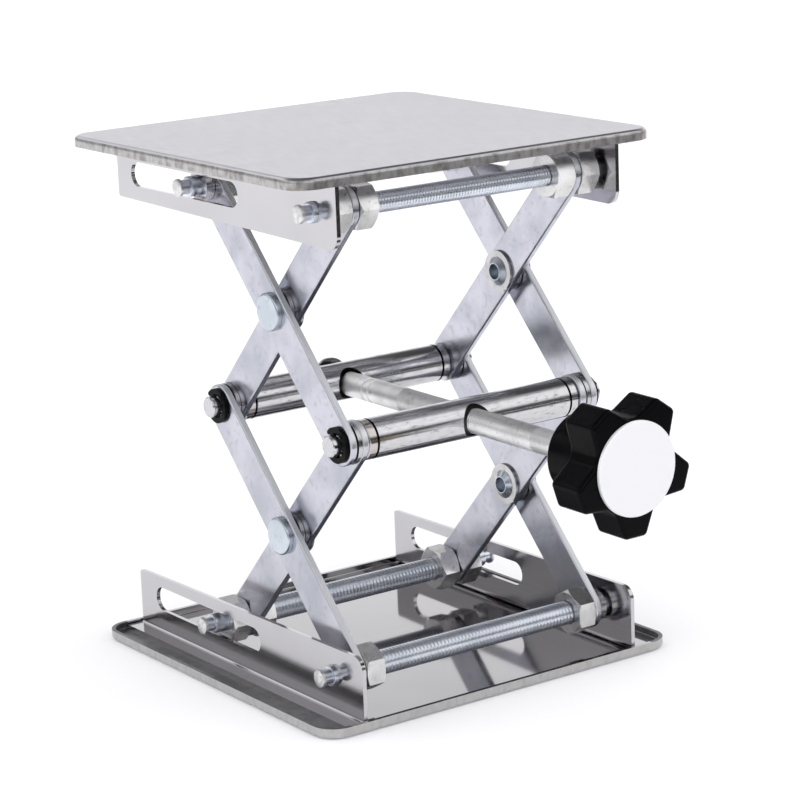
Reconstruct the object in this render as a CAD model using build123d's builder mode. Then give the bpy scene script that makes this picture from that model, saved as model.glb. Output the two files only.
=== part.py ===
"""Double-stage scissor lab jack with 100 mm square plates.

Two pressed trays carry folded side brackets. Two stages of flat arms, riveted where they cross, join
the trays. Their middle joints sit on two cross bars, and a screw with a star knob draws the bars
together to lift the top tray.

Frame: millimetres, origin at the centre of the base tray's underside, +X right along the axles,
+Y to the rear, +Z up. The knob is at the front, towards -Y.
"""
from build123d import *
from math import asin, cos, degrees, radians, sin, tan
import os

# Plates: one pressing, rim upwards as the base and rim downwards as the top.
PLATE_SIDE = 100.0
PLATE_CORNER = 6.0
RIM_DEPTH = 2.6
SHEET = 1.0
BEND_OUTSIDE = 1.2
BEND_INSIDE = 0.3
TOP_SHIFT = 2.8

# Height of the whole jack as stored, and the arms that make it.
REST_HEIGHT = 125.5
BASE_PIVOT_HEIGHT = 10.2
TOP_PIVOT_DEPTH = 9.4
ARM_LENGTH = 73.0
ARM_WIDTH = 10.0
ARM_SHEET = 1.8
ARM_EDGE = 0.45
FRONT_PIVOT_Y = -36.8

# Side brackets, with the flange turned outwards.
BRACKET_INNER = 38.3
FLANGE_REACH = 43.7
BRACKET_BEND = 0.6
BRACKET_REAR_DEPTH = 15.6
BRACKET_FRONT_DEPTH = 17.0
BASE_BRACKET_ENDS = (-48.6, 48.4)
TOP_BRACKET_ENDS = (-46.0, 47.4)
BRACKET_FRONT_CORNER = 3.2
BRACKET_REAR_CORNER = 0.8
SLOT_ENDS = (-6.5, 41.0)
SLOT_WIDTH = 6.0

# Layers across the jack, measured outwards from its middle.
INNER_ARM_FACE = 30.1
OUTER_ARM_FACE = 33.3
FACE_GAP = 0.1
FIT = 0.05

# Axles: threaded rod, M6 below and M5 above, turned down to stubs that end in a neck and a small head.
LOWER_ROD_RADIUS = 2.9
UPPER_ROD_RADIUS = 2.45
STUB_RADIUS = 2.4
STUB_SHOULDER = 1.1
NECK_LENGTH = 2.0
NECK_RADIUS = 1.7
STUB_HEAD_RADIUS = 2.1
STUB_HEAD_LENGTH = 0.9
TIP_CHAMFER = 0.25

# Hexagon nuts and washers on the axles.
NUT_FLATS = 9.8
NUT_HEIGHT = 5.0
NUT_CHAMFER = 0.8
NUT_CHAMFER_DEPTH = 0.5
FLAT_TO_FRONT = 30.0
CORNER_TO_FRONT = 4.0
WASHER_RADIUS = 3.8
WASHER_SHEET = 1.1

# Cross bars with turned ends, held by spring clips.
BAR_RADIUS = 4.65
BAR_END = 30.0
BAR_CHAMFER = 0.5
BAR_RING = (27.2, 27.6)
BAR_RING_DEPTH = 0.35
JOURNAL_RADIUS = 2.5
JOURNAL_TIP = 38.0
CLIP_INNER_FACE = 35.2
CLIP_SHEET = 0.8
CLIP_RADIUS = 4.15
CLIP_RELIEF_RADIUS = 2.85
CLIP_LUG_WIDTH = 1.5
CLIP_MOUTH = 4.2
CLIP_TIP_ROUND = 0.45
CLIP_GROOVE_RADIUS = 1.7
SPACER_RADIUS = 5.0
SPACER_SHEET = 0.5

# Rivets where the arms cross: flat domed head outside, hollow peened tail inside.
RIVET_HEAD_RADIUS = 4.45
RIVET_HEAD_HEIGHT = 1.4
RIVET_HEAD_ROUND = 0.6
RIVET_SHANK_RADIUS = 2.6
RIVET_TAIL_RADIUS = 3.5
RIVET_TAIL_REACH = 28.4
RIVET_HOLLOW_RADIUS = 1.9
RIVET_HOLLOW_DEPTH = 2.6
TAIL_WASHER_SHEET = 0.6

# Lifting screw, along Y through the middle of both bars.
SCREW_RADIUS = 2.95
SCREW_HOLE_COUNTERSINK = 3.7
SCREW_TAIL = 8.8
SCREW_RINGS = (12.8, 15.4)
SCREW_RING_WIDTH = 0.4
SCREW_RING_DEPTH = 0.25
THRUST_WASHER_RADIUS = 5.0
THRUST_WASHER_SHEET = 0.8

# Star knob and its parts.
CAP_FRONT = -98.0
CAP_RADIUS = 10.5
CAP_SHEET = 0.9
CAP_EDGE = 0.35
CAP_PLUG_RADIUS = 8.0
CAP_PLUG_LENGTH = 1.6
KNOB_REACH = 15.5
KNOB_VALLEY_RADIUS = 10.9
KNOB_LOBES = 5
KNOB_FIRST_LOBE = 54.4
KNOB_LOBE_BASE = 9.6
KNOB_LOBE_SLOPE = 68.0
KNOB_LOBE_ROUND = 1.3
KNOB_VALLEY_ROUND = 2.6
KNOB_EDGE = 0.9
KNOB_THICKNESS = 9.6
HUB_RADIUS = 9.5
HUB_LENGTH = 9.0
HUB_EDGE = 0.8
INSERT_RADIUS = 4.6
INSERT_LENGTH = 14.0
INSERT_FLANGE_RADIUS = 5.4
INSERT_FLANGE = 1.0

# Places worked out from the sizes above.
BOTTOM_Z = BASE_PIVOT_HEIGHT
TOP_Z = REST_HEIGHT - TOP_PIVOT_DEPTH
MIDDLE_Z = (BOTTOM_Z + TOP_Z) / 2
REST_ANGLE = asin((MIDDLE_Z - BOTTOM_Z) / ARM_LENGTH)
SPREAD = ARM_LENGTH * cos(REST_ANGLE)
RISE = ARM_LENGTH * sin(REST_ANGLE)
REAR_PIVOT_Y = FRONT_PIVOT_Y + SPREAD
CROSSING_Y = FRONT_PIVOT_Y + SPREAD / 2
BRACKET_OUTER = BRACKET_INNER + SHEET
INNER_ARM_OUTER = INNER_ARM_FACE + ARM_SHEET
OUTER_ARM_OUTER = OUTER_ARM_FACE + ARM_SHEET
SCREW_AXIS = Axis((0, 0, MIDDLE_Z), (0, 1, 0))
UP = 1
DOWN = -1
SIDES = {"left": -1, "right": 1}

os.makedirs("parts", exist_ok=True)


def write(piece, name):
    """Label a finished piece and write it to its own file."""
    piece.part.label = name
    export_step(piece.part, f"parts/{name}.step")
    box = piece.part.bounding_box()
    size = f"{box.size.X:.1f} x {box.size.Y:.1f} x {box.size.Z:.1f}"
    print(f"{name}: {len(piece.part.solids())} solid(s), {size}")


def half_plane(y, z):
    """The plane that holds half the section of a piece turned about the X line through (y, z)."""
    return Plane(origin=(0, y, z), x_dir=(1, 0, 0), z_dir=(0, 0, 1))


def both_ways(half_outline):
    """A half outline from the middle out to one end, with its mirror image added."""
    return [(-x, r) for x, r in reversed(half_outline)] + half_outline


# ---------------------------------------------------------------- trays and brackets
def make_tray(name, centre_y, outer_z, inward):
    """A square pressing whose rim stands inward (UP or DOWN) from its outer face."""
    face_plane = Plane(origin=(0, centre_y, outer_z), x_dir=(1, 0, 0), z_dir=(0, 0, inward))
    with BuildPart() as tray:
        with BuildSketch(face_plane):
            RectangleRounded(PLATE_SIDE, PLATE_SIDE, PLATE_CORNER)
        extrude(amount=RIM_DEPTH)
        outer_face = tray.faces().sort_by(Axis.Z)[0 if inward == UP else -1]
        fillet(outer_face.edges(), BEND_OUTSIDE)
        with BuildSketch(face_plane.offset(SHEET)):
            hollow_side = PLATE_SIDE - 2 * SHEET
            RectangleRounded(hollow_side, hollow_side, PLATE_CORNER - SHEET)
        extrude(amount=RIM_DEPTH, mode=Mode.SUBTRACT)
        floor = tray.faces().filter_by(Axis.Z).sort_by(SortBy.AREA)[-2:].sort_by(Axis.Z)
        fillet(floor[-1 if inward == UP else 0].edges(), BEND_INSIDE)
    write(tray, name)


def make_bracket(name, side, ends, outer_z, inward, pivot_depth):
    """An angle bracket: a slotted upright wall with its flange lying on the tray, turned outwards."""
    section_plane = Plane(origin=(0, 0, outer_z), x_dir=(side, 0, 0), z_dir=(0, -side * inward, 0))
    wall_plane = Plane(origin=(0, 0, outer_z), x_dir=(0, 1, 0), z_dir=(inward, 0, 0))
    front, rear = ends
    with BuildPart() as bracket:
        with BuildSketch(section_plane) as angle:
            with BuildLine():
                Polyline(
                    (BRACKET_INNER, SHEET),
                    (FLANGE_REACH, SHEET),
                    (FLANGE_REACH, 2 * SHEET),
                    (BRACKET_OUTER, 2 * SHEET),
                    (BRACKET_OUTER, BRACKET_FRONT_DEPTH),
                    (BRACKET_INNER, BRACKET_FRONT_DEPTH),
                    close=True,
                )
            make_face()
            crook = angle.vertices().sort_by_distance((BRACKET_OUTER, 2 * SHEET, 0))[0]
            fillet(crook, BRACKET_BEND)
            heel = angle.vertices().sort_by_distance((BRACKET_INNER, SHEET, 0))[0]
            fillet(heel, SHEET + BRACKET_BEND)
        extrude(amount=PLATE_SIDE / 2, both=True)
        with BuildSketch(wall_plane) as wall:
            with BuildLine():
                Polyline(
                    (front, 0),
                    (rear, 0),
                    (rear, BRACKET_REAR_DEPTH),
                    (front, BRACKET_FRONT_DEPTH),
                    close=True,
                )
            make_face()
            front_corner = wall.vertices().sort_by_distance((front, BRACKET_FRONT_DEPTH, 0))[0]
            fillet(front_corner, BRACKET_FRONT_CORNER)
            rear_corner = wall.vertices().sort_by_distance((rear, BRACKET_REAR_DEPTH, 0))[0]
            fillet(rear_corner, BRACKET_REAR_CORNER)
            with Locations(((SLOT_ENDS[0] + SLOT_ENDS[1]) / 2, pivot_depth)):
                SlotOverall(SLOT_ENDS[1] - SLOT_ENDS[0], SLOT_WIDTH, mode=Mode.SUBTRACT)
            with Locations((FRONT_PIVOT_Y, pivot_depth)):
                Circle(STUB_RADIUS + FIT, mode=Mode.SUBTRACT)
        extrude(amount=PLATE_SIDE / 2, both=True, mode=Mode.INTERSECT)
    write(bracket, name)


make_tray("base_tray", 0, 0, UP)
make_tray("top_tray", TOP_SHIFT, REST_HEIGHT, DOWN)
for side_name, side in SIDES.items():
    make_bracket(f"base_bracket_{side_name}", side, BASE_BRACKET_ENDS, 0, UP, BASE_PIVOT_HEIGHT)
    make_bracket(f"top_bracket_{side_name}", side, TOP_BRACKET_ENDS, REST_HEIGHT, DOWN, TOP_PIVOT_DEPTH)


# ---------------------------------------------------------------- scissor arms
def make_arm(name, side, inner_face, start, end, hole_radii):
    """A flat round-ended arm from start to end, both (y, z), with holes at start, middle and end."""
    middle = (side * inner_face, (start[0] + end[0]) / 2, (start[1] + end[1]) / 2)
    along = (0, end[0] - start[0], end[1] - start[1])
    with BuildPart() as arm:
        with BuildSketch(Plane(origin=middle, x_dir=along, z_dir=(side, 0, 0))):
            SlotOverall(ARM_LENGTH + ARM_WIDTH, ARM_WIDTH)
            for place, radius in zip((-ARM_LENGTH / 2, 0, ARM_LENGTH / 2), hole_radii):
                with Locations((place, 0)):
                    Circle(radius, mode=Mode.SUBTRACT)
        extrude(amount=ARM_SHEET)
        wide_faces = arm.faces().filter_by(Axis.X)
        fillet([edge for face in wide_faces for edge in face.outer_wire().edges()], ARM_EDGE)
    write(arm, name)


bottom_front = (FRONT_PIVOT_Y, BOTTOM_Z)
bottom_rear = (REAR_PIVOT_Y, BOTTOM_Z)
middle_front = (FRONT_PIVOT_Y, MIDDLE_Z)
middle_rear = (REAR_PIVOT_Y, MIDDLE_Z)
top_front = (FRONT_PIVOT_Y, TOP_Z)
top_rear = (REAR_PIVOT_Y, TOP_Z)

stub_hole = STUB_RADIUS + FIT
lower_rod_hole = LOWER_ROD_RADIUS + FIT
upper_rod_hole = UPPER_ROD_RADIUS + FIT
journal_hole = JOURNAL_RADIUS + FIT
rivet_hole = RIVET_SHANK_RADIUS + FIT

for side_name, side in SIDES.items():
    make_arm(f"lower_outer_arm_{side_name}", side, OUTER_ARM_FACE, bottom_front, middle_rear,
             (stub_hole, rivet_hole, journal_hole))
    make_arm(f"lower_inner_arm_{side_name}", side, INNER_ARM_FACE, bottom_rear, middle_front,
             (lower_rod_hole, rivet_hole, journal_hole))
    make_arm(f"upper_inner_arm_{side_name}", side, INNER_ARM_FACE, top_front, middle_rear,
             (upper_rod_hole, rivet_hole, journal_hole))
    make_arm(f"upper_outer_arm_{side_name}", side, OUTER_ARM_FACE, top_rear, middle_front,
             (stub_hole, rivet_hole, journal_hole))


# ---------------------------------------------------------------- axles, nuts and washers
def make_axle(name, pivot, thread_end, rod_radius):
    """A rod across the jack, stepped down to its stubs at thread_end."""
    shoulder = BRACKET_OUTER + STUB_SHOULDER
    head = shoulder + NECK_LENGTH
    tip = head + STUB_HEAD_LENGTH
    half_outline = [
        (thread_end, rod_radius),
        (thread_end, STUB_RADIUS),
        (shoulder - TIP_CHAMFER, STUB_RADIUS),
        (shoulder, STUB_RADIUS - TIP_CHAMFER),
        (shoulder, NECK_RADIUS),
        (head, NECK_RADIUS),
        (head, STUB_HEAD_RADIUS),
        (tip - TIP_CHAMFER, STUB_HEAD_RADIUS),
        (tip, STUB_HEAD_RADIUS - TIP_CHAMFER),
        (tip, 0),
    ]
    with BuildPart() as axle:
        with BuildSketch(half_plane(*pivot)):
            with BuildLine():
                Polyline(*both_ways(half_outline), close=True)
            make_face()
        revolve(axis=Axis((0, *pivot), (1, 0, 0)))
    write(axle, name)


with BuildPart() as nut_blank:
    with BuildSketch(Plane.YZ):
        Circle(NUT_FLATS / 2 / cos(radians(30)))
    extrude(amount=NUT_HEIGHT)
    chamfer(nut_blank.edges().filter_by(GeomType.CIRCLE), NUT_CHAMFER_DEPTH, NUT_CHAMFER)
    with BuildSketch(Plane.YZ):
        RegularPolygon(NUT_FLATS / 2, 6, major_radius=False)
    extrude(amount=NUT_HEIGHT, mode=Mode.INTERSECT)


def make_nuts(name, pivot, inner_faces, turn, hole_radius):
    """Nuts on both halves of one axle, turned alike, each with its inner face this far from the middle."""
    with BuildPart() as nuts:
        with Locations(*[Location((inner_face, *pivot), (turn, 0, 0)) for inner_face in inner_faces]):
            add(nut_blank.part)
        with BuildSketch(Plane.YZ):
            with Locations(pivot):
                Circle(hole_radius)
        extrude(amount=PLATE_SIDE / 2, mode=Mode.SUBTRACT)
        mirror(about=Plane.YZ)
    write(nuts, name)


def make_washers(name, pivots, inner_faces, outer_radius, hole_radius, sheet):
    """Plain washers about each pivot, on both sides of the jack."""
    with BuildPart() as washers:
        for inner_face in inner_faces:
            with BuildSketch(Plane.YZ.offset(inner_face)):
                with Locations(*pivots):
                    Circle(outer_radius)
                    Circle(hole_radius, mode=Mode.SUBTRACT)
            extrude(amount=sheet)
        mirror(about=Plane.YZ)
    write(washers, name)


outer_arm_nuts = [OUTER_ARM_FACE - FACE_GAP - NUT_HEIGHT]
inner_arm_nuts = [INNER_ARM_FACE - FACE_GAP - NUT_HEIGHT, INNER_ARM_OUTER + FACE_GAP]
outer_arm_thread_end = OUTER_ARM_FACE - FACE_GAP
inner_arm_thread_end = INNER_ARM_OUTER + FACE_GAP + NUT_HEIGHT
side_washer_faces = [OUTER_ARM_OUTER + FACE_GAP, OUTER_ARM_OUTER + FACE_GAP + WASHER_SHEET + FIT / 2]

make_axle("lower_front_axle", bottom_front, outer_arm_thread_end, LOWER_ROD_RADIUS)
make_axle("lower_rear_axle", bottom_rear, inner_arm_thread_end, LOWER_ROD_RADIUS)
make_axle("upper_front_axle", top_front, inner_arm_thread_end, UPPER_ROD_RADIUS)
make_axle("upper_rear_axle", top_rear, outer_arm_thread_end, UPPER_ROD_RADIUS)
make_nuts("lower_front_nuts", bottom_front, outer_arm_nuts, FLAT_TO_FRONT, lower_rod_hole)
make_nuts("lower_rear_nuts", bottom_rear, inner_arm_nuts, CORNER_TO_FRONT, lower_rod_hole)
make_nuts("upper_front_nuts", top_front, inner_arm_nuts, CORNER_TO_FRONT, upper_rod_hole)
make_nuts("upper_rear_nuts", top_rear, outer_arm_nuts, FLAT_TO_FRONT, upper_rod_hole)
make_washers("lower_front_washers", [bottom_front], side_washer_faces, WASHER_RADIUS, stub_hole, WASHER_SHEET)
make_washers("upper_rear_washers", [top_rear], side_washer_faces, WASHER_RADIUS, stub_hole, WASHER_SHEET)


# ---------------------------------------------------------------- cross bars, spacers and clips
def make_bar(name, y):
    """A turned cross bar with journals for the arms, clip grooves, and the screw's hole across it."""
    half_outline = [
        (BAR_RING[0], BAR_RADIUS),
        (BAR_RING[0], BAR_RADIUS - BAR_RING_DEPTH),
        (BAR_RING[1], BAR_RADIUS - BAR_RING_DEPTH),
        (BAR_RING[1], BAR_RADIUS),
        (BAR_END - BAR_CHAMFER, BAR_RADIUS),
        (BAR_END, BAR_RADIUS - BAR_CHAMFER),
        (BAR_END, JOURNAL_RADIUS),
        (CLIP_INNER_FACE - FIT, JOURNAL_RADIUS),
        (CLIP_INNER_FACE - FIT, CLIP_GROOVE_RADIUS),
        (CLIP_INNER_FACE + CLIP_SHEET + FIT, CLIP_GROOVE_RADIUS),
        (CLIP_INNER_FACE + CLIP_SHEET + FIT, JOURNAL_RADIUS),
        (JOURNAL_TIP - TIP_CHAMFER, JOURNAL_RADIUS),
        (JOURNAL_TIP, JOURNAL_RADIUS - TIP_CHAMFER),
        (JOURNAL_TIP, 0),
    ]
    with BuildPart() as bar:
        with BuildSketch(half_plane(y, MIDDLE_Z)):
            with BuildLine():
                Polyline(*both_ways(half_outline), close=True)
            make_face()
        revolve(axis=Axis((0, y, MIDDLE_Z), (1, 0, 0)))
        with BuildSketch(Plane(origin=(0, y, MIDDLE_Z), x_dir=(1, 0, 0), z_dir=(0, 1, 0))):
            Circle(SCREW_RADIUS + FIT)
        extrude(amount=BAR_RADIUS, both=True, mode=Mode.SUBTRACT)
        countersink = SCREW_HOLE_COUNTERSINK - SCREW_RADIUS
        for towards in (-1, 1):
            mouth = Plane(origin=(0, y + towards * BAR_RADIUS, MIDDLE_Z), x_dir=(1, 0, 0), z_dir=(0, -towards, 0))
            with BuildSketch(mouth):
                Circle(SCREW_HOLE_COUNTERSINK)
            extrude(amount=countersink, taper=45, mode=Mode.SUBTRACT)
    write(bar, name)


with BuildPart() as clip_blank:
    with BuildSketch(Plane.YZ):
        Circle(CLIP_RADIUS)
        Circle(CLIP_RELIEF_RADIUS, mode=Mode.SUBTRACT)
        lug_length = CLIP_RELIEF_RADIUS - CLIP_GROOVE_RADIUS
        with PolarLocations(CLIP_GROOVE_RADIUS + FIT + lug_length / 2, 3, start_angle=60):
            Rectangle(lug_length + CLIP_SHEET / 2, CLIP_LUG_WIDTH)
        with Locations((CLIP_RADIUS, 0)):
            Rectangle(2 * CLIP_RADIUS, CLIP_MOUTH, mode=Mode.SUBTRACT)
        Circle(CLIP_GROOVE_RADIUS + FIT, mode=Mode.SUBTRACT)
    extrude(amount=CLIP_SHEET)
    prong_tips = clip_blank.edges().filter_by(Axis.X).sort_by_distance((0, 2 * CLIP_RADIUS, 0))[:2]
    fillet(prong_tips, CLIP_TIP_ROUND)


def make_bar_clips(name, y):
    """The two spring clips on a bar's journals, mouths to the rear."""
    with BuildPart() as clips:
        with Locations((CLIP_INNER_FACE, y, MIDDLE_Z)):
            add(clip_blank.part)
        mirror(about=Plane.YZ)
    write(clips, name)


spacer_faces = [INNER_ARM_OUTER + FACE_GAP, INNER_ARM_OUTER + FACE_GAP + SPACER_SHEET + FIT / 2]
for bar_name, bar_y in {"front_bar": FRONT_PIVOT_Y, "rear_bar": REAR_PIVOT_Y}.items():
    make_bar(bar_name, bar_y)
    make_bar_clips(f"{bar_name}_clips", bar_y)
    make_washers(f"{bar_name}_washers", [(bar_y, MIDDLE_Z)], spacer_faces, SPACER_RADIUS, journal_hole, SPACER_SHEET)


# ---------------------------------------------------------------- rivets where the arms cross
tail_washer_face = INNER_ARM_FACE - FACE_GAP - TAIL_WASHER_SHEET


def make_rivets(name, z):
    """The two rivets of one stage, heads outwards."""
    with BuildPart() as rivets:
        with BuildSketch(half_plane(CROSSING_Y, z)) as section:
            with BuildLine():
                Polyline(
                    (OUTER_ARM_OUTER + RIVET_HEAD_HEIGHT, 0),
                    (OUTER_ARM_OUTER + RIVET_HEAD_HEIGHT, RIVET_HEAD_RADIUS),
                    (OUTER_ARM_OUTER + FIT, RIVET_HEAD_RADIUS),
                    (OUTER_ARM_OUTER + FIT, RIVET_SHANK_RADIUS),
                    (tail_washer_face - FIT, RIVET_SHANK_RADIUS),
                    (tail_washer_face - FIT, RIVET_TAIL_RADIUS),
                    (RIVET_TAIL_REACH, RIVET_HOLLOW_RADIUS + 2 * FACE_GAP),
                    (RIVET_TAIL_REACH, RIVET_HOLLOW_RADIUS),
                    (RIVET_TAIL_REACH + RIVET_HOLLOW_DEPTH, RIVET_HOLLOW_RADIUS - 2 * FACE_GAP),
                    (RIVET_TAIL_REACH + RIVET_HOLLOW_DEPTH + RIVET_HOLLOW_RADIUS / 2, 0),
                    close=True,
                )
            make_face()
            rim = (OUTER_ARM_OUTER + RIVET_HEAD_HEIGHT, RIVET_HEAD_RADIUS, 0)
            fillet(section.vertices().sort_by_distance(rim)[0], RIVET_HEAD_ROUND)
        revolve(axis=Axis((0, CROSSING_Y, z), (1, 0, 0)))
        mirror(about=Plane.YZ)
    write(rivets, name)


lower_crossing = (CROSSING_Y, BOTTOM_Z + RISE / 2)
upper_crossing = (CROSSING_Y, MIDDLE_Z + RISE / 2)
for stage, crossing in {"lower": lower_crossing, "upper": upper_crossing}.items():
    make_rivets(f"{stage}_crossing_rivets", crossing[1])
    make_washers(f"{stage}_crossing_spacers", [crossing], spacer_faces, SPACER_RADIUS, rivet_hole, SPACER_SHEET)
    make_washers(f"{stage}_rivet_washers", [crossing], [tail_washer_face], SPACER_RADIUS, rivet_hole,
                 TAIL_WASHER_SHEET)


# ---------------------------------------------------------------- lifting screw and its retainers
bar_back = REAR_PIVOT_Y + BAR_RADIUS
thrust_face = bar_back + FACE_GAP
screw_clip_face = thrust_face + THRUST_WASHER_SHEET + FIT
screw_tip = REAR_PIVOT_Y + SCREW_TAIL
knob_front = CAP_FRONT + CAP_SHEET
knob_back = knob_front + KNOB_THICKNESS
hub_back = knob_back + HUB_LENGTH
screw_head = hub_back - INSERT_LENGTH + 2 * SHEET

with BuildPart() as lead_screw:
    with BuildSketch(Plane(origin=(0, 0, MIDDLE_Z), x_dir=(0, 1, 0), z_dir=(1, 0, 0))):
        with BuildLine():
            ring_lines = []
            for ring in SCREW_RINGS:
                ring_y = REAR_PIVOT_Y - ring
                ring_lines = [
                    (ring_y, SCREW_RADIUS),
                    (ring_y, SCREW_RADIUS - SCREW_RING_DEPTH),
                    (ring_y + SCREW_RING_WIDTH, SCREW_RADIUS - SCREW_RING_DEPTH),
                    (ring_y + SCREW_RING_WIDTH, SCREW_RADIUS),
                ] + ring_lines
            Polyline(
                (screw_head, 0),
                (screw_head, SCREW_RADIUS),
                *ring_lines,
                (screw_clip_face - FIT, SCREW_RADIUS),
                (screw_clip_face - FIT, CLIP_GROOVE_RADIUS),
                (screw_clip_face + CLIP_SHEET + FIT, CLIP_GROOVE_RADIUS),
                (screw_clip_face + CLIP_SHEET + FIT, SCREW_RADIUS),
                (screw_tip - TIP_CHAMFER, SCREW_RADIUS),
                (screw_tip, SCREW_RADIUS - TIP_CHAMFER),
                (screw_tip, 0),
                close=True,
            )
        make_face()
    revolve(axis=SCREW_AXIS)
write(lead_screw, "lead_screw")

with BuildPart() as thrust_washer:
    with BuildSketch(Plane(origin=(0, thrust_face, MIDDLE_Z), x_dir=(1, 0, 0), z_dir=(0, 1, 0))):
        Circle(THRUST_WASHER_RADIUS)
        Circle(SCREW_RADIUS + FIT, mode=Mode.SUBTRACT)
    extrude(amount=THRUST_WASHER_SHEET)
write(thrust_washer, "screw_thrust_washer")

with BuildPart() as screw_clip:
    with Locations(Location((0, screw_clip_face, MIDDLE_Z), (0, 0, 90))):
        add(clip_blank.part)
write(screw_clip, "screw_clip")

# ---------------------------------------------------------------- star knob
knob_front_plane = Plane(origin=(0, knob_front, MIDDLE_Z), x_dir=(1, 0, 0), z_dir=(0, -1, 0))
knob_back_plane = knob_front_plane.offset(-KNOB_THICKNESS)
hub_back_plane = knob_back_plane.offset(-HUB_LENGTH)
cap_recess_plane = knob_front_plane.offset(-CAP_PLUG_LENGTH)

with BuildPart() as knob:
    with BuildSketch(knob_back_plane) as star:
        Circle(KNOB_VALLEY_RADIUS)
        lobe_length = KNOB_REACH - KNOB_VALLEY_RADIUS / 2
        with PolarLocations(KNOB_REACH - lobe_length / 2, KNOB_LOBES, start_angle=KNOB_FIRST_LOBE):
            base_width = KNOB_LOBE_BASE + KNOB_VALLEY_RADIUS / tan(radians(KNOB_LOBE_SLOPE))
            Trapezoid(base_width, lobe_length, KNOB_LOBE_SLOPE, rotation=-90)
        corners = star.vertices().sort_by_distance((0, 0, 0))
        fillet(corners[-2 * KNOB_LOBES:], KNOB_LOBE_ROUND)
        roots = star.vertices().sort_by_distance((0, 0, 0))
        fillet(roots[:2 * KNOB_LOBES], KNOB_VALLEY_ROUND)
    extrude(amount=KNOB_THICKNESS)
    rims = knob.faces().filter_by(Axis.Y)
    fillet([edge for face in rims for edge in face.edges()], KNOB_EDGE)
    with BuildSketch(hub_back_plane):
        Circle(HUB_RADIUS)
    extrude(amount=HUB_LENGTH + KNOB_EDGE)
    fillet(knob.faces().sort_by(Axis.Y)[-1].edges(), HUB_EDGE)
    with BuildSketch(cap_recess_plane):
        Circle(CAP_PLUG_RADIUS + FIT)
    extrude(amount=2 * CAP_PLUG_LENGTH, mode=Mode.SUBTRACT)
    with BuildSketch(hub_back_plane):
        Circle(INSERT_RADIUS + FIT)
    extrude(amount=INSERT_LENGTH + FIT, mode=Mode.SUBTRACT)
write(knob, "knob")

with BuildPart() as knob_cap:
    with BuildSketch(knob_front_plane.offset(FIT)):
        Circle(CAP_RADIUS)
    extrude(amount=CAP_SHEET - FIT)
    fillet(knob_cap.faces().sort_by(Axis.Y)[0].edges(), CAP_EDGE)
    with BuildSketch(cap_recess_plane.offset(FIT)):
        Circle(CAP_PLUG_RADIUS)
    extrude(amount=CAP_PLUG_LENGTH)
write(knob_cap, "knob_cap")

with BuildPart() as knob_insert:
    with BuildSketch(hub_back_plane.offset(-FIT)):
        Circle(INSERT_RADIUS)
    extrude(amount=INSERT_LENGTH)
    with BuildSketch(hub_back_plane.offset(-INSERT_FLANGE - FIT)):
        Circle(INSERT_FLANGE_RADIUS)
    extrude(amount=INSERT_FLANGE)
    with BuildSketch(hub_back_plane.offset(-INSERT_FLANGE - FIT)):
        Circle(SCREW_RADIUS + FIT)
    extrude(amount=INSERT_LENGTH, mode=Mode.SUBTRACT)
write(knob_insert, "knob_insert")

print(f"rest angle {degrees(REST_ANGLE):.3f} deg, spread {SPREAD:.3f}, rear pivot y {REAR_PIVOT_Y:.3f}")
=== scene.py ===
"""Looks for the double-stage scissor lab jack: studio, camera, threads, knob and metal finishes."""
import math

import bmesh
import bpy
from mathutils import Matrix, Vector


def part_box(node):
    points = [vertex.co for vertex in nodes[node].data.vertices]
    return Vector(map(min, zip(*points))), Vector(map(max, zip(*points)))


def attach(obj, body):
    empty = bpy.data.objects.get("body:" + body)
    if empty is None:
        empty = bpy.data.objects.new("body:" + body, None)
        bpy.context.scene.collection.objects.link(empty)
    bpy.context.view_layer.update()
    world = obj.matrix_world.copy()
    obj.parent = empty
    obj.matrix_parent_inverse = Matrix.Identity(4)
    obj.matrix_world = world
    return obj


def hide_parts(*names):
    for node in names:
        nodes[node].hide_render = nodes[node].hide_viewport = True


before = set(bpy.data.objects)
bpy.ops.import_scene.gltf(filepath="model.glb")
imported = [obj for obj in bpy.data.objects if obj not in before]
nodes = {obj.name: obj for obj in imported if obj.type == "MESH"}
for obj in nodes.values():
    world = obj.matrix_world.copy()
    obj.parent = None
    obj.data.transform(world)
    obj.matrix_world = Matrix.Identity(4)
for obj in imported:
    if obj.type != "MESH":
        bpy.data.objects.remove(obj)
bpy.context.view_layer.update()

MM = 0.001

# Threaded axles and their headed stubs, in millimetres
THREAD_DEPTH = 0.11
STUB_RADIUS = 2.4
NECK_RADIUS = 1.7
NECK_LENGTH = 2.0
HEAD_RADIUS = 2.1
HEAD_LENGTH = 0.9
OUTER_ARM_THREAD_END = 33.2
INNER_ARM_THREAD_END = 37.0
LOWER_AXLE = {"crest": 2.88, "pitch": 1.0}
UPPER_AXLE = {"crest": 2.44, "pitch": 0.8}

# Lifting screw, in millimetres; its thread and its ring marks are placed forward of the rear bar's axis
SCREW_RADIUS = 2.95
SCREW_THREAD_DEPTH = 0.18
SCREW_PITCH = 0.75
SCREW_THREAD_SPAN = (27.0, 78.0)
SCREW_RING_MARKS = (15.4, 12.8)
SCREW_CLIP_NECK_RADIUS = 1.7

# What the finishes mark, in millimetres from the jack's middle plane or from the screw's axis
STUB_START_X = 42.5
BAR_GROOVE_X = 27.4
BAR_GROOVE_HALF_WIDTH = 0.3
BAR_COLLAR_X = 31.0
BAR_COLLAR_HALF_WIDTH = 3.6
DARK_HOLE_RING_RADIUS = 3.85


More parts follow.
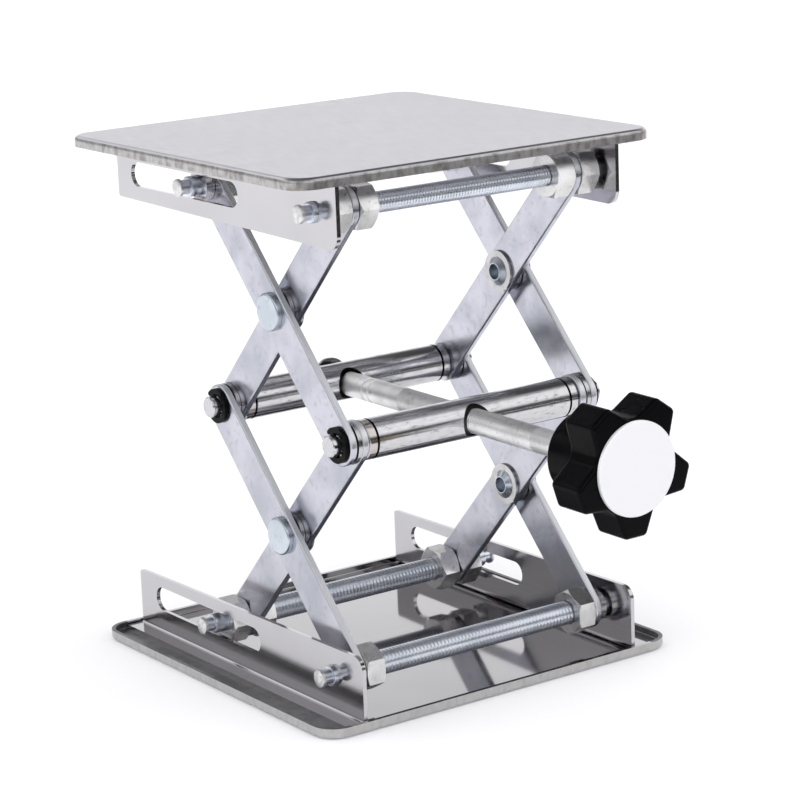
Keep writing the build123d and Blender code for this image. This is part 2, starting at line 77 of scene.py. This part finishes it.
# ---------------------------------------------------------------- studio
def make_camera():
    """A long lens from the front left, a little above the top plate."""
    camera = bpy.data.objects.new("camera", bpy.data.cameras.new("camera"))
    bpy.context.scene.collection.objects.link(camera)
    camera.data.sensor_width = 36.0
    camera.data.lens = 127.3
    camera.data.clip_end = 20.0
    azimuth = math.radians(34.97)
    elevation = math.radians(13.77)
    roll = math.radians(-2.2)
    forward = Vector((
        math.sin(azimuth) * math.cos(elevation),
        math.cos(azimuth) * math.cos(elevation),
        -math.sin(elevation),
    ))
    level_right = forward.cross(Vector((0, 0, 1))).normalized()
    level_up = level_right.cross(forward)
    right = level_right * math.cos(roll) + level_up * math.sin(roll)
    up = level_up * math.cos(roll) - level_right * math.sin(roll)
    turn = Matrix((right, up, -forward)).transposed().to_4x4()
    place = Vector((-371.99, -542.89, 221.84)) * MM
    camera.matrix_world = Matrix.Translation(place) @ turn
    bpy.context.scene.camera = camera


def make_floor_light():
    """A broad soft light from overhead for the floor and the plastics, which metal does not reflect."""
    light = bpy.data.lights.new("overhead", "SUN")
    light.energy = 2.8
    light.angle = math.radians(150)
    holder = bpy.data.objects.new("overhead", light)
    bpy.context.scene.collection.objects.link(holder)
    holder.rotation_euler = (math.radians(12), math.radians(-14), 0)
    holder.visible_glossy = False


def make_floor():
    """A plain pale floor that runs far past the object."""
    bpy.ops.mesh.primitive_plane_add(size=40)
    floor = bpy.context.object
    floor.name = "floor"
    material = bpy.data.materials.new("floor")
    material.use_nodes = True
    shader = material.node_tree.nodes["Principled BSDF"]
    shader.inputs["Base Color"].default_value = (0.88, 0.88, 0.89, 1)
    shader.inputs["Roughness"].default_value = 0.9
    shader.inputs["Specular IOR Level"].default_value = 0.1
    floor.data.materials.append(material)


def make_flag():
    """A black card on the floor in front, outside the picture, for the metal to reflect."""
    bpy.ops.mesh.primitive_plane_add(size=1)
    flag = bpy.context.object
    flag.name = "flag"
    flag.dimensions = (2.4, 1.5, 0)
    flag.location = (0.5, -1.05, 0.002)
    material = bpy.data.materials.new("flag")
    material.use_nodes = True
    shader = material.node_tree.nodes["Principled BSDF"]
    shader.inputs["Base Color"].default_value = (0.02, 0.02, 0.02, 1)
    shader.inputs["Roughness"].default_value = 0.9
    shader.inputs["Specular IOR Level"].default_value = 0.0
    flag.data.materials.append(material)
    flag.visible_camera = False
    flag.visible_shadow = False
    flag.visible_diffuse = False


def make_world():
    """A studio whose right side is a white screen, with a dark ceiling and a dark left side."""
    world = bpy.data.worlds.new("studio")
    bpy.context.scene.world = world
    world.use_nodes = True
    tree = world.node_tree

    def node(kind, *wires):
        made = tree.nodes.new(kind)
        for output, socket in wires:
            tree.links.new(output, made.inputs[socket])
        return made

    def by_height(*stops):
        """Greys at heights above the horizon, as the sine of the elevation."""
        ramp = node("ShaderNodeValToRGB", (direction.outputs["Z"], 0))
        elements = ramp.color_ramp.elements
        while len(elements) < len(stops):
            elements.new(0.5)
        for element, (height, grey) in zip(elements, stops):
            element.position = height
            element.color = (grey, grey, grey * 1.02, 1)
        return ramp.outputs[0]

    def blend(coordinate, low, high, first, second):
        """First where a coordinate is low and second where it is high, with a smooth step between."""
        step = node("ShaderNodeMapRange", (direction.outputs[coordinate], 0))
        step.interpolation_type = "SMOOTHSTEP"
        step.inputs["From Min"].default_value = low
        step.inputs["From Max"].default_value = high
        mixed = tree.nodes.new("ShaderNodeMix")
        mixed.data_type = "RGBA"
        for output, socket in ((step.outputs[0], 0), (first, 6), (second, 7)):
            tree.links.new(output, mixed.inputs[socket])
        return mixed.outputs[2]

    place = tree.nodes.new("ShaderNodeTexCoord")
    direction = node("ShaderNodeSeparateXYZ", (place.outputs["Generated"], 0))
    right_back = by_height((0, 0.88), (0.29, 0.94), (0.41, 0.5), (0.52, 0.12), (0.8, 0.06))
    right_front = by_height((0, 0.06), (0.22, 0.08), (0.34, 0.8), (0.45, 1.0), (0.78, 0.95), (0.92, 0.2))
    left_back = by_height((0, 0.36), (0.12, 0.26), (0.28, 0.24), (0.42, 0.75), (0.6, 0.9), (0.78, 0.1))
    left_front = by_height((0, 0.1), (0.15, 0.2), (0.35, 0.7), (0.7, 0.8), (0.88, 0.1))
    right = blend("Y", -0.34, 0.02, right_front, right_back)
    left = blend("Y", -0.34, 0.02, left_front, left_back)
    background = tree.nodes["Background"]
    tree.links.new(blend("X", -0.1, 0.5, left, right), background.inputs["Color"])
    background.inputs["Strength"].default_value = 1.25


make_camera()
make_floor()
make_flag()
make_world()
make_floor_light()
bpy.context.scene.view_settings.view_transform = "Standard"


# ---------------------------------------------------------------- material helpers
class Shade:
    """A small builder for one material's nodes, in the jack's own coordinates."""

    def __init__(self, name, metallic=1.0):
        self.material = bpy.data.materials.new(name)
        self.material.use_nodes = True
        self.tree = self.material.node_tree
        self.shader = self.tree.nodes["Principled BSDF"]
        self.place = self.tree.nodes.new("ShaderNodeTexCoord")
        self.set("Metallic", metallic)

    def set(self, socket, value):
        self.shader.inputs[socket].default_value = value

    def node(self, kind, **inputs):
        made = self.tree.nodes.new(kind)
        for name, value in inputs.items():
            socket = made.inputs[name.replace("_", " ")]
            if isinstance(value, bpy.types.NodeSocket):
                self.tree.links.new(value, socket)
            else:
                socket.default_value = value
        return made

    def link(self, output, socket):
        self.tree.links.new(output, self.shader.inputs[socket])

    def noise(self, scale, detail=3.0, stretch=(1, 1, 1)):
        """Noise of a given scale per metre, drawn out along the axes with a small stretch."""
        mapping = self.node("ShaderNodeMapping", Vector=self.place.outputs["Object"])
        mapping.inputs["Scale"].default_value = stretch
        texture = self.node("ShaderNodeTexNoise", Vector=mapping.outputs[0], Scale=scale, Detail=detail)
        return texture.outputs["Fac"]

    def ramp(self, value, *stops):
        """Colours or greys at positions along a value."""
        made = self.node("ShaderNodeValToRGB", Fac=value)
        elements = made.color_ramp.elements
        while len(elements) < len(stops):
            elements.new(0.5)
        for element, (position, colour) in zip(elements, stops):
            element.position = position
            element.color = (*colour, 1) if isinstance(colour, tuple) else (colour, colour, colour, 1)
        return made.outputs[0]

    def mix(self, factor, first, second):
        """Second over first by factor; both are colours or sockets."""
        made = self.tree.nodes.new("ShaderNodeMix")
        made.data_type = "RGBA"
        for socket, value in ((made.inputs[0], factor), (made.inputs[6], first), (made.inputs[7], second)):
            if isinstance(value, bpy.types.NodeSocket):
                self.tree.links.new(value, socket)
            elif isinstance(value, tuple):
                socket.default_value = (*value, 1)
            else:
                socket.default_value = value
        return made.outputs[2]

    def math(self, operation, first, second=0.0):
        made = self.tree.nodes.new("ShaderNodeMath")
        made.operation = operation
        for socket, value in ((made.inputs[0], first), (made.inputs[1], second)):
            if isinstance(value, bpy.types.NodeSocket):
                self.tree.links.new(value, socket)
            else:
                socket.default_value = value
        return made.outputs[0]

    def near(self, value, centre, reach):
        """1 where a value is within reach of a centre, and 0 elsewhere."""
        compared = self.math("COMPARE", value, centre)
        compared.node.inputs[2].default_value = reach
        return compared

    def square(self, value):
        return self.math("MULTIPLY", value, value)

    def bump(self, height, distance, strength=1.0):
        made = self.node("ShaderNodeBump", Height=height, Strength=strength, Distance=distance)
        self.link(made.outputs[0], "Normal")

    def place_along(self, axis):
        """The position along X, Y or Z of the jack's own frame, in metres."""
        split = self.node("ShaderNodeSeparateXYZ", Vector=self.place.outputs["Object"])
        return split.outputs[axis]

    def facing(self, axis):
        """The surface normal's share along X, Y or Z of the jack's own frame."""
        split = self.node("ShaderNodeSeparateXYZ", Vector=self.place.outputs["Normal"])
        return split.outputs[axis]


def dress(shade, *names):
    """Give CAD nodes a finish."""
    for name in names:
        node = nodes[name]
        if not node.material_slots:
            node.data.materials.append(shade.material)
        for material_slot in node.material_slots:
            material_slot.material = shade.material


# ---------------------------------------------------------------- turned and threaded pieces
def along_x(centre):
    """Places points about the X line through centre, in metres."""
    def place(along, radius, turn):
        return Vector((along, centre.y + radius * math.cos(turn), centre.z + radius * math.sin(turn)))
    return place


def along_y(centre):
    """Places points about the Y line through centre, in metres."""
    def place(along, radius, turn):
        return Vector((centre.x + radius * math.sin(turn), along, centre.z + radius * math.cos(turn)))
    return place


def add_turned(mesh, place, outline, segments=48):
    """A closed body turned from an outline of (along, radius) points in millimetres, ends included."""
    rings = []
    for along, radius in outline:
        turns = [2 * math.pi * step / segments for step in range(segments)]
        rings.append([mesh.verts.new(place(along * MM, radius * MM, turn)) for turn in turns])
    for first, second in zip(rings, rings[1:]):
        for step in range(segments):
            after = (step + 1) % segments
            mesh.faces.new((first[step], first[after], second[after], second[step]))
    mesh.faces.new(rings[0][::-1])
    mesh.faces.new(rings[-1])


def add_thread(mesh, place, start, end, root, crest, pitch, steps=6, segments=36):
    """A screw thread cut off square at both ends; lengths in millimetres."""
    turn_count = math.ceil((end - start) / pitch) + 3
    rows = turn_count * steps
    grid = []
    for row in range(rows + 1):
        lift = 0.5 - 0.5 * math.cos(2 * math.pi * row / steps)
        radius = root + (crest - root) * min(1.0, 1.25 * lift)
        points = []
        for step in range(segments):
            along = start - 2 * pitch + pitch * (row / steps + step / segments)
            points.append(mesh.verts.new(place(along * MM, radius * MM, 2 * math.pi * step / segments)))
        grid.append(points)
    faces = []
    for row in range(rows):
        for step in range(segments - 1):
            lower = (grid[row][step], grid[row][step + 1])
            upper = (grid[row + 1][step + 1], grid[row + 1][step])
            faces.append(mesh.faces.new(lower + upper))
        if row + steps < rows:
            lower = (grid[row][-1], grid[row + steps][0])
            upper = (grid[row + steps + 1][0], grid[row + 1][-1])
            faces.append(mesh.faces.new(lower + upper))
    axis = (place(MM, 0, 0) - place(0, 0, 0)).normalized()
    for along, outwards in ((start, -1), (end, 1)):
        vertices = dict.fromkeys(vertex for face in faces for vertex in face.verts)
        edges = dict.fromkeys(edge for face in faces for edge in face.edges)
        cut = bmesh.ops.bisect_plane(
            mesh,
            geom=[*vertices, *edges, *faces],
            dist=1e-7,
            plane_co=place(along * MM, 0, 0),
            plane_no=axis * outwards,
            clear_outer=True,
        )
        faces = [item for item in cut["geom"] if isinstance(item, bmesh.types.BMFace)]
        rim = [item for item in cut["geom_cut"] if isinstance(item, bmesh.types.BMEdge)]
        bmesh.ops.contextual_create(mesh, geom=rim)


def finish_piece(mesh, name, shade, body, slot, *replaced):
    """Turn a bmesh into a smooth-shaded piece that rides on a body and stands for CAD nodes."""
    bmesh.ops.recalc_face_normals(mesh, faces=mesh.faces)
    data = bpy.data.meshes.new(name)
    mesh.to_mesh(data)
    mesh.free()
    data.shade_smooth()
    data.set_sharp_from_angle(angle=math.radians(38))
    data.materials.append(shade.material)
    piece = bpy.data.objects.new(name, data)
    bpy.context.scene.collection.objects.link(piece)
    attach(piece, body)
    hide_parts(*replaced)


def node_centre(name):
    """The middle of a node's box and its reach from there, in metres."""
    low, high = (Vector(corner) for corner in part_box(name))
    return (low + high) / 2, (high - low) / 2


def make_threaded_axle(node, body, thread_end, thread, shade):
    """Threaded rod, with plain stubs that end in a neck and a small head."""
    crest = thread["crest"]
    centre, reach = node_centre(node)
    place = along_x(centre)
    tip = reach.x / MM
    head = tip - HEAD_LENGTH
    shoulder = head - NECK_LENGTH
    mesh = bmesh.new()
    add_thread(mesh, place, -thread_end, thread_end, crest - THREAD_DEPTH, crest, thread["pitch"])
    outline = [
        (thread_end - 0.4, STUB_RADIUS - 0.3),
        (thread_end - 0.4, STUB_RADIUS - 0.2),
        (thread_end - 0.2, STUB_RADIUS),
        (shoulder - 0.3, STUB_RADIUS),
        (shoulder - 0.08, STUB_RADIUS - 0.08),
        (shoulder, STUB_RADIUS - 0.25),
        (shoulder, NECK_RADIUS),
        (head, NECK_RADIUS),
        (head, HEAD_RADIUS - 0.15),
        (head + 0.12, HEAD_RADIUS),
        (tip - 0.3, HEAD_RADIUS),
        (tip - 0.08, HEAD_RADIUS - 0.08),
        (tip, HEAD_RADIUS - 0.3),
    ]
    for side in (-1, 1):
        add_turned(mesh, place, [(side * along, radius) for along, radius in outline])
    finish_piece(mesh, f"{node}_rod", shade, body, "rod", node)


def make_threaded_screw(shade):
    """The lifting screw: plain behind, finely threaded where the front bar travels, plain to the knob."""
    centre, reach = node_centre("lead_screw")
    place = along_y(centre)
    head = (centre.y - reach.y) / MM
    tip = (centre.y + reach.y) / MM
    rear_bar_y = node_centre("rear_bar")[0].y / MM
    clip_low, clip_high = (Vector(corner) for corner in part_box("screw_clip"))
    groove_start = clip_low.y / MM - 0.05
    groove_end = clip_high.y / MM + 0.05
    thread_near, thread_far = SCREW_THREAD_SPAN
    thread_start = rear_bar_y - thread_far
    thread_end = rear_bar_y - thread_near
    mesh = bmesh.new()
    knob_end = [
        (head, SCREW_RADIUS - 0.25),
        (head + 0.25, SCREW_RADIUS),
        (thread_start + 0.1, SCREW_RADIUS),
        (thread_start + 0.5, SCREW_RADIUS - 0.35),
    ]
    add_turned(mesh, place, knob_end)
    crest = SCREW_RADIUS - 0.01
    add_thread(mesh, place, thread_start, thread_end, crest - SCREW_THREAD_DEPTH, crest, SCREW_PITCH)
    rear_end = [(thread_end - 0.5, SCREW_RADIUS - 0.35), (thread_end - 0.1, SCREW_RADIUS)]
    for ring in SCREW_RING_MARKS:
        ring_y = rear_bar_y - ring
        rear_end += [
            (ring_y - 0.15, SCREW_RADIUS),
            (ring_y, SCREW_RADIUS - 0.25),
            (ring_y + 0.4, SCREW_RADIUS - 0.25),
            (ring_y + 0.55, SCREW_RADIUS),
        ]
    rear_end += [
        (groove_start, SCREW_RADIUS),
        (groove_start, SCREW_CLIP_NECK_RADIUS),
        (groove_end, SCREW_CLIP_NECK_RADIUS),
        (groove_end, SCREW_RADIUS),
        (tip - 0.4, SCREW_RADIUS),
        (tip - 0.1, SCREW_RADIUS - 0.11),
        (tip, SCREW_RADIUS - 0.35),
    ]
    add_turned(mesh, place, rear_end)
    finish_piece(mesh, "lead_screw_threaded", shade, "screw", "screw", "lead_screw")


# ---------------------------------------------------------------- finishes
def tray_finish(node, outer_sign, inside_roughness, mark_stretch, mark_depth):
    """Satin outside, mirror-bright between the brackets, rougher and darkened with painted shade beside
    them, and shear marks round the rim.
    """
    shade = Shade(f"{node}_steel")
    up = shade.facing("Z")
    outward = shade.math("MULTIPLY", up, outer_sign)
    outside = shade.math("GREATER_THAN", outward, 0.5)
    upright = shade.math("LESS_THAN", shade.math("ABSOLUTE", up), 0.6)
    forward = shade.math("SUBTRACT", shade.place_along("Y"), node_centre(node)[0].y)
    away_x = shade.math("MULTIPLY", shade.facing("X"), shade.place_along("X"))
    away_y = shade.math("MULTIPLY", shade.facing("Y"), forward)
    away = shade.math("GREATER_THAN", shade.math("ADD", away_x, away_y), 0.0)
    side = shade.math("MULTIPLY", upright, away)
    bracket_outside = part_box("base_bracket_right")[1][0]
    across = shade.math("ABSOLUTE", shade.place_along("X"))
    beside = shade.math("GREATER_THAN", across, bracket_outside - 0.3 * MM)
    cloud = shade.noise(28, 2)
    satin = shade.ramp(cloud, (0.3, (0.63, 0.62, 0.66)), (0.7, (0.67, 0.665, 0.69)))
    mirror = shade.ramp(cloud, (0.3, (0.45, 0.44, 0.45)), (0.7, (0.50, 0.49, 0.50)))
    # Beside the brackets the floor is rougher, and painted darker as painted shade from the bracket walls.
    dull = shade.ramp(shade.noise(420, 4), (0.3, (0.24, 0.235, 0.245)), (0.6, (0.33, 0.325, 0.335)))
    inside = shade.mix(beside, mirror, dull)
    face = shade.mix(outside, inside, satin)
    marks = shade.noise(1.0, 3, mark_stretch)
    worn = shade.ramp(
        marks,
        (0.35, (0.30, 0.275, 0.26)),
        (0.5, (0.50, 0.485, 0.475)),
        (0.65, (0.60, 0.595, 0.59)),
    )
    cut = shade.mix(mark_depth, (0.52, 0.515, 0.51), worn)
    shade.link(shade.mix(side, face, cut), "Base Color")
    fine = shade.noise(1.0, 3, (2200, 160, 160))
    outer_rough = shade.ramp(fine, (0.3, 0.28), (0.7, 0.35))
    mirror_rough = shade.ramp(cloud, (0.3, inside_roughness), (0.7, inside_roughness + 0.04))
    inner_rough = shade.mix(beside, mirror_rough, (0.42, 0.42, 0.42))
    rough_face = shade.mix(outside, inner_rough, outer_rough)
    shade.link(shade.mix(side, rough_face, (0.4, 0.4, 0.4)), "Roughness")
    shade.bump(marks, 0.00006, shade.math("MULTIPLY", side, 0.4 * mark_depth))
    return shade


def sheet_finish():
    """Smooth stainless sheet with a very faint rolled grain along its length."""
    shade = Shade("bracket_sheet")
    grain = shade.noise(1.0, 3, (1200, 45, 1200))
    cloud = shade.noise(45, 2)
    shade.link(shade.ramp(cloud, (0.3, (0.545, 0.535, 0.55)), (0.7, (0.585, 0.575, 0.59))), "Base Color")
    shade.link(shade.ramp(grain, (0.3, 0.12), (0.7, 0.18)), "Roughness")
    shade.bump(grain, 0.00002, 0.12)
    return shade


def arm_finish():
    """Zinc-plated strip: faintly clouded faces; edges that face up are rougher and carry a painted
    highlight.
    """
    shade = Shade("arm_zinc")
    cloud = shade.noise(130, 4)
    spots = shade.noise(620, 5)
    blotch = shade.noise(75, 3)
    tint = shade.ramp(cloud, (0.36, (0.52, 0.525, 0.585)), (0.62, (0.60, 0.595, 0.66)))
    stained = shade.mix(shade.ramp(blotch, (0.34, 0.7), (0.5, 0.0)), tint, (0.43, 0.45, 0.50))
    face = shade.mix(shade.ramp(spots, (0.32, 0.5), (0.44, 0.0)), stained, (0.38, 0.38, 0.42))
    # Painted highlight: edges that face up are painted pale, standing in for the light they catch; their
    # rougher finish is real.
    edge = shade.math("LESS_THAN", shade.math("ABSOLUTE", shade.facing("X")), 0.86)
    upward_highlight = shade.ramp(shade.facing("Z"), (0.0, 0.0), (0.25, 1.0))
    pale = shade.math("MULTIPLY", edge, upward_highlight)
    shade.link(shade.mix(pale, face, (0.86, 0.87, 0.90)), "Base Color")
    smooth = shade.ramp(cloud, (0.35, 0.27), (0.65, 0.18))
    shade.link(shade.mix(pale, smooth, (0.5, 0.5, 0.5)), "Roughness")
    shade.bump(spots, 0.00003, 0.15)
    return shade


def zinc_finish(name, low, high, roughness=0.22, relief=0.2):
    """Bright zinc plate: cloudiness, small dull spots and fine handling marks."""
    shade = Shade(name)
    cloud = shade.noise(130, 4)
    spots = shade.noise(620, 5)
    tint = shade.ramp(cloud, (0.36, low), (0.62, high))
    dull = tuple(0.72 * channel for channel in low)
    shade.link(shade.mix(shade.ramp(spots, (0.3, 0.6), (0.42, 0.0)), tint, dull), "Base Color")
    shade.link(shade.ramp(cloud, (0.35, roughness + 0.06), (0.65, roughness - 0.03)), "Roughness")
    shade.bump(spots, 0.00003, relief)
    return shade


def rod_finish():
    """Bluish zinc on the threads and paler, duller zinc on the stubs outside the arms."""
    shade = Shade("rod_zinc")
    cloud = shade.noise(130, 4)
    blue = shade.ramp(cloud, (0.36, (0.62, 0.66, 0.73)), (0.62, (0.72, 0.76, 0.83)))
    pale = shade.ramp(shade.noise(900, 3), (0.35, (0.62, 0.62, 0.62)), (0.6, (0.84, 0.84, 0.84)))
    stub = shade.math("GREATER_THAN", shade.math("ABSOLUTE", shade.place_along("X")), STUB_START_X * MM)
    shade.link(shade.mix(stub, blue, pale), "Base Color")
    shade.link(shade.mix(stub, (0.28, 0.28, 0.28), (0.4, 0.4, 0.4)), "Roughness")
    return shade


def turned_finish(name, node):
    """Polished bar with turning marks and specks, a browned left collar, oil in its grooves and a near-black
    ring round its screw hole.
    """
    shade = Shade(name)
    rings = shade.noise(1.0, 3, (3600, 60, 60))
    specks = shade.noise(1.0, 5, (500, 1500, 1500))
    tint = shade.ramp(
        specks,
        (0.3, (0.40, 0.39, 0.385)),
        (0.42, (0.585, 0.58, 0.595)),
        (0.7, (0.64, 0.635, 0.655)),
    )
    middle_z = node_centre(node)[0].z
    across = shade.math("ABSOLUTE", shade.place_along("X"))
    groove = shade.near(across, BAR_GROOVE_X * MM, BAR_GROOVE_HALF_WIDTH * MM)
    lift = shade.math("SUBTRACT", shade.place_along("Z"), middle_z)
    from_screw = shade.math("POWER", shade.math("ADD", shade.square(across), shade.square(lift)), 0.5)
    # A near-black ring is painted round the screw hole, out to this radius from the screw's axis.
    dark_hole_ring = shade.math("LESS_THAN", from_screw, DARK_HOLE_RING_RADIUS * MM)
    darkened = shade.math("MAXIMUM", groove, dark_hole_ring)
    left_collar = shade.near(shade.place_along("X"), -BAR_COLLAR_X * MM, BAR_COLLAR_HALF_WIDTH * MM)
    aged = shade.mix(shade.math("MULTIPLY", left_collar, 0.5), tint, (0.50, 0.43, 0.38))
    shade.link(shade.mix(darkened, aged, (0.012, 0.012, 0.012)), "Base Color")
    shade.link(shade.ramp(specks, (0.32, 0.26), (0.5, 0.15)), "Roughness")
    shade.bump(rings, 0.00003, 0.2)
    return shade


def plastic_finish(name, colour, roughness, specular):
    """Moulded plastic with a fine eggshell surface."""
    shade = Shade(name, metallic=0.0)
    shade.set("Base Color", (*colour, 1))
    shade.set("Specular IOR Level", specular)
    grain = shade.noise(1500, 3)
    cloud = shade.noise(180, 2)
    shade.link(shade.ramp(cloud, (0.3, roughness - 0.04), (0.7, roughness + 0.06)), "Roughness")
    shade.bump(grain, 0.00002, 0.15)
    return shade


base_tray_shade = tray_finish("base_tray", -1, 0.05, (700, 700, 300), 0.25)
top_tray_shade = tray_finish("top_tray", 1, 0.1, (650, 650, 420), 0.8)
sheet = sheet_finish()
arm_zinc = arm_finish()
rod_zinc = rod_finish()
nut_zinc = zinc_finish("nut_zinc", (0.60, 0.595, 0.59), (0.76, 0.755, 0.75), 0.24, 0.4)
washer_zinc = zinc_finish("washer_zinc", (0.50, 0.495, 0.50), (0.62, 0.615, 0.62), 0.2)
rivet_zinc = zinc_finish("rivet_zinc", (0.56, 0.61, 0.66), (0.64, 0.70, 0.76), 0.26, 0.35)
screw_zinc = zinc_finish("screw_zinc", (0.82, 0.82, 0.815), (0.93, 0.93, 0.925), 0.42)
clip_black = plastic_finish("clip_black", (0.003, 0.003, 0.0035), 0.3, 0.07)
knob_black = plastic_finish("knob_black", (0.0015, 0.0015, 0.002), 0.24, 0.06)
cap_white = plastic_finish("cap_white", (0.70, 0.70, 0.715), 0.5, 0.2)
insert_brass = zinc_finish("insert_brass", (0.55, 0.40, 0.19), (0.68, 0.52, 0.27))

make_threaded_axle("lower_front_axle", "lower_outer_arms", OUTER_ARM_THREAD_END, LOWER_AXLE, rod_zinc)
make_threaded_axle("lower_rear_axle", "lower_inner_arms", INNER_ARM_THREAD_END, LOWER_AXLE, rod_zinc)
make_threaded_axle("upper_front_axle", "upper_inner_arms", INNER_ARM_THREAD_END, UPPER_AXLE, rod_zinc)
make_threaded_axle("upper_rear_axle", "upper_outer_arms", OUTER_ARM_THREAD_END, UPPER_AXLE, rod_zinc)
make_threaded_screw(screw_zinc)

dress(base_tray_shade, "base_tray")
dress(top_tray_shade, "top_tray")
for name in nodes:
    if "bracket" in name:
        dress(sheet, name)
    elif "_arm_" in name:
        dress(arm_zinc, name)
    elif name.endswith("nuts"):
        dress(nut_zinc, name)
    elif name.endswith(("washers", "spacers", "washer")):
        dress(washer_zinc, name)
    elif name.endswith("rivets"):
        dress(rivet_zinc, name)
    elif name.endswith(("clips", "clip")):
        dress(clip_black, name)
for bar in ("front_bar", "rear_bar"):
    dress(turned_finish(f"{bar}_steel", bar), bar)
dress(knob_black, "knob")
dress(cap_white, "knob_cap")
dress(insert_brass, "knob_insert")
